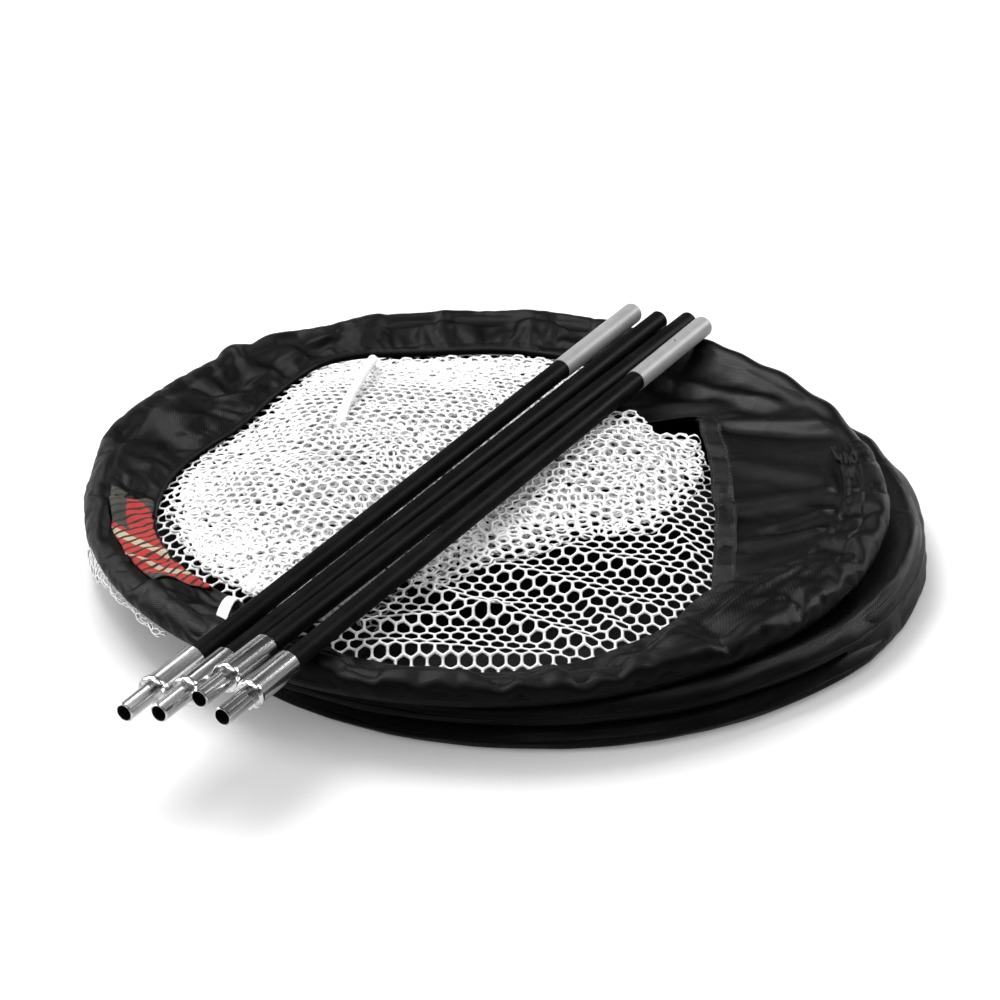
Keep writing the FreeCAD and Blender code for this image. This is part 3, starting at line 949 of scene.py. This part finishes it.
def rope(name, path, radius, material, strands=8, sides=20):
    """Braided round cord along a path of points."""
    path = np.asarray(path, float)
    ahead = unit(np.gradient(path, axis=0))
    side = unit(np.cross(ahead, (0, 0, 1)))
    up = np.cross(side, ahead)
    angle = np.linspace(0, 2 * pi, sides, endpoint=False)
    travel = np.concatenate([[0], np.cumsum(np.linalg.norm(np.diff(path, axis=0), axis=1))])
    twist = travel[:, None] * 1.5
    turned = angle * strands / 2
    braid = np.abs(np.sin(turned + twist) * np.sin(turned - twist))
    ends = np.sqrt(np.clip(np.minimum(travel, travel[-1] - travel) / radius, 0.02, 1))
    girth = (radius - 0.25 + 0.35 * braid) * ends[:, None]
    grid = (path[:, None] + side[:, None] * (girth * np.cos(angle))[..., None]
            + up[:, None] * (girth * np.sin(angle))[..., None])
    rows = len(path)
    index = np.arange(rows * sides).reshape(rows, sides)
    index = np.hstack([index, index[:, :1]])
    quads = np.stack([index[:-1, :-1], index[:-1, 1:], index[1:, 1:], index[1:, :-1]], -1)
    return mesh_object(name, grid.reshape(-1, 3), quads.reshape(-1, 4), material=material)


def cord_path():
    """From the back hem over the netting, then down into it, and out at the front left."""
    x, y, z = CORD_HIGH[0], CORD_HIGH[1], HEM_Z
    knots = np.array([(x - 1, y - 4, z - 2), (x + 1.5, y - 11, z + 5.5), (x - 2, y - 30, z + 9),
                      (x - 9, y - 58, z + 7.5), (x - 14, y - 84, z), (CORD_LOW[0] + 14, 0, z - 2),
                      (CORD_LOW[0] + 3, CORD_LOW[1] + 30, z - 2),
                      (CORD_LOW[0] - 1, CORD_LOW[1] + 4, z - 0.5)])
    return Sheet(knots[:, None].repeat(2, 1)).at(np.linspace(0, 1, 260), np.zeros(260))


# --- nets ---
class Region:
    """Sheet over a part of the plan, given by a test for being inside it.

    The part is seen from a centre, and looked up by shares of its plan box."""

    def __init__(self, inside, centre, reach=200.0, rounding=6):
        angle = np.radians(np.arange(360))
        low, high = np.zeros(360), np.full(360, reach)
        for _ in range(24):
            middle = (low + high) / 2
            within = inside(*plan_at(centre, angle, middle))
            low = np.where(within, middle, low)
            high = np.where(within, high, middle)
        window = np.hanning(2 * rounding + 3)[1:-1]
        wrapped = np.concatenate([low[-rounding:], low, low[:rounding]])
        radii = np.convolve(wrapped, window / window.sum(), "valid")
        self.centre = centre
        self.sheet = None       # its surface, once the heights are known
        self.radii = np.append(radii, radii[0])
        corners = self.grid(64)[0]
        self.low, self.high = corners.min((0, 1)), corners.max((0, 1))

    def radius(self, angle):
        return np.interp(np.degrees(angle) % 360, np.arange(361), self.radii)

    def grid(self, count):
        """Square grid of plan points that fills the part, and each one's share outwards."""
        angle, share = seen_from((0, 0), *disc_places(count))
        x, y = plan_at(self.centre, angle, self.radius(angle) * share)
        return points_at(x, y, 0.0), share

    def find(self, u, v):
        """Direction and share outwards of places in the plan box."""
        x = self.low[0] + (self.high[0] - self.low[0]) * u
        y = self.low[1] + (self.high[1] - self.low[1]) * v
        angle, distance = seen_from(self.centre, x, y)
        return angle, distance / self.radius(angle)

    def at(self, u, v):
        angle, share = self.find(u, v)
        share = np.minimum(share, 1.0)
        return self.sheet.at(*disc_to_square(share * np.cos(angle), share * np.sin(angle)))

    def inside(self, u, v):
        return self.find(u, v)[1] < 0.975


def in_opening(x, y, margin):
    angle, distance = seen_from(NET_EDGE.centre, x, y)
    return distance < hem_radius(np.degrees(angle)) + margin


def side_of_poles(x, y):
    """Distance from the fold axis' plane, towards the front right."""
    return x * ACROSS[0] + y * ACROSS[1]


def draped_net(name, inside, centre, count, height, growth, slant, strand=NET_STRAND,
               rounding=6):
    """Netting over the part of the plan where inside(x, y) is true.

    height(x, y, share) gives its heights, where share grows from 0 in the middle to 1 at
    the edge. growth is how much larger the netting is than its plan."""
    region = Region(inside, centre, rounding=rounding)
    grid, share = region.grid(count)
    grid[..., 2] = height(grid[..., 0], grid[..., 1], share)
    region.sheet = Sheet(grid)
    size = (region.high - region.low)[:2] * (1 + growth)
    return net_object(name, region, size, slant, region.inside, strand)


# Folds of the netting right of the poles: start, end (mm), width, height.
NET_FOLDS = (((-38, -66), (34, -112), 4.5, 3.0), ((-8, -50), (58, -88), 5.0, 2.6),
             ((18, -38), (76, -66), 4.0, 2.2), ((-66, -100), (2, -82), 3.5, 2.4),
             ((-60, -112), (40, -122), 4.0, 2.0), ((30, -78), (44, -104), 4.0, 2.6),
             ((62, -10), (74, -48), 3.5, 2.0))
LOBE_BACK = 34.0            # the netting right of the poles ends here, folded over


def target_net():
    """Single netting over the whole opening, sewn to the hem and to the tape."""
    def inside(x, y):
        behind = (side_of_poles(x, y) > -9) & (y > LOBE_BACK)
        return in_opening(x, y, 3.0) & (x < TAPE_X) & ~behind

    def height(x, y, share):
        azimuth = np.degrees(seen_from(NET_EDGE.centre, x, y)[0])
        inner = smooth((1 - share) * 7)
        swell = 0.8 * noise(x / 42 + y / 90, y / 18 - x / 50, 41)
        swell += 0.35 * noise(x / 16, y / 9, 42)
        folds = sum(crease(points_at(x, y, 0.0), *line) for line in NET_FOLDS)
        return hem_height(azimuth) - 3.6 + 3.1 * inner + (0.3 + 0.7 * inner) * (swell + folds)

    return draped_net("target_net_lattice", inside, (-30, -10), 110, height, 0.06, 0.02,
                      rounding=2)


# The heap of netting left of the poles, layer by layer: lift above the hem in the middle,
# growth, slant of its rows, seed.
LEFT_LAYERS = ((1.8, 0.18, 0.35, 201), (3.4, 0.3, -0.3, 211), (5.0, 0.35, 0.8, 221),
               (6.4, 0.25, 0.2, 281), (7.6, 0.2, 0.05, 285))
# The fold of netting right of the poles, in the same way.
RIGHT_LAYERS = ((2.4, 0.14, -0.3, 231), (4.8, 0.2, 0.5, 241), (7.0, 0.16, 0.22, 291),
                (9.2, 0.1, 0.04, 251))


def heap_strand(number, layers):
    """The lower layers are several sheets seen as one, so their strands look wide."""
    return NET_STRAND if number == len(layers) - 1 else HEAP_STRAND


def left_heap(number, lift, growth, slant, seed):
    def inside(x, y):
        return in_opening(x, y, -5 - 2 * number) & (side_of_poles(x, y) < -12 + 1.5 * number)

    def height(x, y, share):
        crown = smooth((1 - share) * (2.6 - 0.4 * number))
        slope = smooth((x + y * 0.9 + 190) / 130)
        z = HEM_Z - 0.6 + lift * crown * (0.35 + 0.75 * slope)
        waves = 0.9 * noise(x / 24, y / 16, seed) + 0.3 * noise(x / 9, y / 9, seed + 1)
        z += (0.3 + crown) * waves
        return z + crown * 0.9 * ridges(x / 60 + y / 45, y / 22 - x / 60, seed + 2)

    return draped_net(f"catch_net_left_{number}", inside, (-75, 18), 96, height, growth, slant,
                      heap_strand(number, LEFT_LAYERS))


# Plan outline of that fold, counter-clockwise from its front.
RIGHT_LOBE = ((-48, -80), (-20, -50), (6, -34), (30, -24), (55, -17), (68, 2), (81, 28),
              (83, 41), (77, 53), (65, 46), (53, 67), (34, 60), (16, 46), (-8, 6), (-32, -32))


def in_polygon(x, y, corners):
    inside = np.zeros(np.shape(x), bool)
    for (x0, y0), (x1, y1) in zip(corners, corners[1:] + corners[:1]):
        crosses = (y0 > y) != (y1 > y)
        inside ^= crosses & (x < (x1 - x0) * (y - y0) / (y1 - y0 + 1e-9) + x0)
    return inside


def right_fold(number, lift, growth, slant, seed):
    def inside(x, y):
        front = 1 - smooth((y - 0.45 * x + 30) / 60)
        drawn = (number - 1.2) * 7.0 * front + 3.0 * front * noise(x / 11, 0, seed + 4)
        return in_polygon(x + 0.3 * drawn, y - drawn, RIGHT_LOBE) & (x < TAPE_LOW[0] + 3)

    def height(x, y, share):
        back = smooth((y - 0.45 * x + 30) / 75)
        front = smooth((1 - share) * 3)
        clear_of_poles = smooth((side_of_poles(x, y) - 4) / 12)
        rise = lift * (0.35 + 0.65 * back) * (0.9 + 0.1 * clear_of_poles)
        waves = 0.9 * noise(x / 20, y / 12, seed) + 0.3 * noise(x / 8, y / 8, seed + 1)
        return HEM_Z - 1.0 + rise * np.maximum(front, 0.8 * back) + (0.3 + front) * waves

    return draped_net(f"catch_net_right_{number}", inside, (30, 10), 84, height, growth, slant,
                      heap_strand(number, RIGHT_LAYERS))


def gathered_net(name, turn, heights, seed):
    """Netting of a lower turn, gathered to the left of it."""
    oval = TURNS[turn]

    def inside(x, y):
        dx, dy = x - oval.centre[0], y - oval.centre[1]
        reach = (dx / (oval.half[0] - 13)) ** 2 + (dy / (oval.half[1] - 13)) ** 2
        along = (x * FOLD_AXIS[0] + y * FOLD_AXIS[1]) / 130.0
        drawn_in = 18.0 * (1 - np.minimum(along**2, 1))
        return (reach < 1) & (side_of_poles(x, y) < -2 - drawn_in)

    def height(x, y, share):
        middle, half = sum(heights) / 2, (heights[1] - heights[0]) / 2
        waves = 0.7 * ridges(x / 24, y / 18, seed) + 0.3 * noise(x / 8, y / 8, seed + 2)
        return middle + half * waves

    return draped_net(name, inside, oval.centre + (-62, 30), 70, height, 0.25, 0.3)


def fringe():
    """Edge of the netting that hangs out under the front left rim."""
    def everywhere(u, v):
        return np.ones(np.shape(u), bool)

    azimuths = np.linspace(184, 222, 100)
    azimuth, t = np.meshgrid(azimuths, np.linspace(0, 1, 10), indexing="ij")
    ripple = 1.3 * noise(azimuth / 2.2, t * 1.5, 301)
    x, y = TOP.point(np.radians(azimuth), 3.0 - 3.5 * np.sin(t * pi * 0.8) + ripple)
    fade = smooth((206 - azimuth) / 14)
    z = 23.5 - (4.5 + 13.0 * fade) * t + 1.2 * noise(azimuth / 2, t * 2, 302) * t
    sheet = Sheet(points_at(x, y, z))
    return net_object("rim_net_fringe", sheet, (150.0, 20.0), 0.1, everywhere)


# --- build ---
def attach(piece, body, slot, *nodes):
    """Rides a piece on a body and hides the CAD nodes that it stands for; slot is not used."""
    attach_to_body(piece, body)
    if nodes:
        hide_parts(*nodes)
    return piece


def joining(piece, lower, upper, azimuth):
    """Bakes a gusset's placement into its mesh; the gusset is not bent about the fold."""
    x, y = TURNS[upper].point(radians(azimuth), 0.0)
    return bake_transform(piece)


band = front_band_grid()
CLOTHS = (
    ("rim_skirt", "top", with_hem(rim_skirt_grid(), 3.0), POLYESTER, {}),
    ("front_band", "top", with_hem(band, 2.4), POLYESTER, {}),
    ("right_panel", "top", right_panel_grid(), SATIN, {}),
    ("top_sleeve", "top", sleeve_grid("top", 51, 0.4, 0.3), POLYESTER, {"closed": True}),
    ("middle_sleeve", "middle", sleeve_grid("middle", 61, 1.8, 1.5), POLYESTER, {"closed": True}),
    ("middle_skirt", "middle", middle_skirt_grid(), SATIN, {"closed": True}),
    ("base_sleeve", "base", sleeve_grid("base", 71, 2.4, 1.5), POLYESTER, {"closed": True}),
    ("base_panel", "base", base_panel_grid(), POLYESTER, {"level": 0}),
)
for node, turn, grid, material, options in CLOTHS:
    cloth = cloth_object(f"{node}_cloth", grid, material, **options)
    attach(cloth, f"{turn}_loop", "black_fabric", node)

front_azimuth = float(np.degrees(atan2(ACROSS[1], ACROSS[0])))
for name, lower, upper, azimuth, top, seed in (
        ("front_gusset", "base", "middle", front_azimuth, 45, 111),
        ("back_gusset", "middle", "top", front_azimuth + 180, -5, 121)):
    gusset = gusset_grid(lower, upper, azimuth, 11, top, seed)
    joining(cloth_object(name, gusset, POLYESTER), lower, upper, azimuth)

tape = tape_grid()
binding = cloth_object("panel_binding_tape", tape, TAPE, thickness=0.9)
attach(binding, "top_loop", "binding_tape", "panel_binding")
thread = stitches("panel_binding_stitches", Sheet(tape), (0.14, 0.86), 64, THREAD)
attach(thread, "top_loop", "binding_tape")
label = cloth_object("label_cloth", patch_on(Sheet(band), *LABEL_SPANS, (34, 10), 1.2), LABEL)
attach(label, "top_loop", "plaid_label", "label_strip")
tab = bridge(patch_on(Sheet(band), *TAB_SPANS, (5, 18), 0.8, lean=0.095), 2.4)
strap = cloth_object("cord_tab_strap", tab, STRAP, thickness=0.8)
attach(strap, "top_loop", "white_elastic", "cord_tab")

attach(target_net(), "top_loop", "netting", "target_net")
for number, layer in enumerate(LEFT_LAYERS):
    attach(left_heap(number, *layer), "top_loop", "netting", "catch_net")
for number, layer in enumerate(RIGHT_LAYERS):
    attach(right_fold(number, *layer), "top_loop", "netting")
for turn, heights, seed in (("middle", (12.8, 17.0), 261), ("base", (2.6, 8.2), 271)):
    net = gathered_net(f"{turn}_net_lattice", turn, heights, seed)
    attach(net, f"{turn}_loop", "netting", f"{turn}_net")
attach(fringe(), "top_loop", "netting")

CORD_RADIUS = (CORD_HIGH[2] - CORD_LOW[2]) / 2.4
cord = rope("elastic_cord_braid", cord_path(), CORD_RADIUS, STRAP)
attach(cord, "top_loop", "white_elastic", "elastic_cord")


# --- finishes of the CAD nodes that stay ---
def paint(node, material):
    shape = frame["nodes"][node]
    shape.data.materials.clear()
    shape.data.materials.append(material)
    for face in shape.data.polygons:
        face.use_smooth = True


axes = {mount["name"].split("_")[1]: mount["axis"] for mount in frame["record"]["mounts"]
        if mount["name"].startswith("pole")}
for number, axis in sorted(axes.items()):
    paint(f"pole_{number}_tube", COATING)
    paint(f"pole_{number}_ferrule", ferrule_material(axis))
for node in frame["nodes"]:
    if node.endswith("_tip"):
        paint(node, TIP)
    if node.endswith("_wire") or node == "hoop_splice":
        paint(node, WIRE)


# --- stage ---
WHITE = (1, 1, 1, 1)


def floor():
    shader = Shader("floor_white")
    shader.set(Base_Color=(*grey(0.86), 1), Roughness=0.6, Specular_IOR_Level=0.0,
               Emission_Color=WHITE, Emission_Strength=0.12)
    signs = ((-1, -1, 0), (1, -1, 0), (1, 1, 0), (-1, 1, 0))
    points = np.array(signs) * FLOOR_REACH
    mesh_object("floor", points, [(0, 1, 2, 3)], material=shader.material)


def softbox(name, place, size, power, highlight_only=True):
    """Lamp that faces the origin; most of them only show as highlights."""
    light = bpy.data.lights.new(name, "AREA")
    light.shape = "RECTANGLE"
    light.size, light.size_y = size[0] * MM, size[1] * MM
    light.energy = power
    lamp = linked(name, light)
    lamp.location = Vector(place) * MM
    lamp.rotation_euler = (-Vector(place)).to_track_quat("-Z", "Y").to_euler()
    lamp.visible_diffuse = not highlight_only


# Brightness of the room in reflections by height; flat cloth reflects the dark part.
MIRROR_STOPS = ((0.0, 0.2), (0.24, 0.45), (0.36, 0.01), (0.68, 0.01), (0.86, 0.9), (1.0, 1.2))


def world():
    """White to the camera, soft grey light, and a darker horizon in reflections."""
    made = bpy.data.worlds.new("studio")
    made.use_nodes = True
    bpy.context.scene.world = made
    made.node_tree.nodes.clear()
    nodes = Nodes(made.node_tree)
    ray = nodes.add("LightPath")
    place = nodes.add("TexCoord").outputs["Generated"]
    height = nodes.add("SeparateXYZ", {0: place}).outputs["Z"]
    mirror = nodes.ramp(height, *[(stop, grey(value)) for stop, value in MIRROR_STOPS])
    white, soft, dark = [
        nodes.add("Background", {"Color": WHITE, "Strength": strength}).outputs[0]
        for strength in (1.0, SOFT_LIGHT, mirror)]
    unseen = nodes.add("MixShader", {0: ray.outputs["Is Glossy Ray"], 1: soft, 2: dark})
    seen = nodes.add("MixShader", {0: ray.outputs["Is Camera Ray"], 1: unseen.outputs[0],
                                   2: white})
    nodes.add("OutputWorld", {"Surface": seen.outputs[0]})


def camera():
    data = bpy.data.cameras.new("camera")
    data.angle = CAMERA_FOV
    made = linked("camera", data)
    target = Vector(CAMERA_TARGET)
    back = Vector((0, -cos(CAMERA_ELEVATION), sin(CAMERA_ELEVATION)))
    made.location = (target + back * CAMERA_DISTANCE) * MM
    made.rotation_euler = (-back).to_track_quat("-Z", "Y").to_euler()
    data.clip_end = CAMERA_FAR
    bpy.context.scene.camera = made


floor()
softbox("overhead", (-400, 650, 1250), (1000, 800), 18.0, highlight_only=False)
softbox("back_left", (-900, 600, 1400), (400, 400), 45.0)
softbox("front_strip", (0, -500, 1500), (1500, 160), 26.0)
softbox("left", (-1300, 300, 600), (250, 500), 24.0)
softbox("right", (1200, 900, 700), (250, 500), 24.0)
world()
camera()
bpy.context.scene.view_settings.view_transform = "Standard"
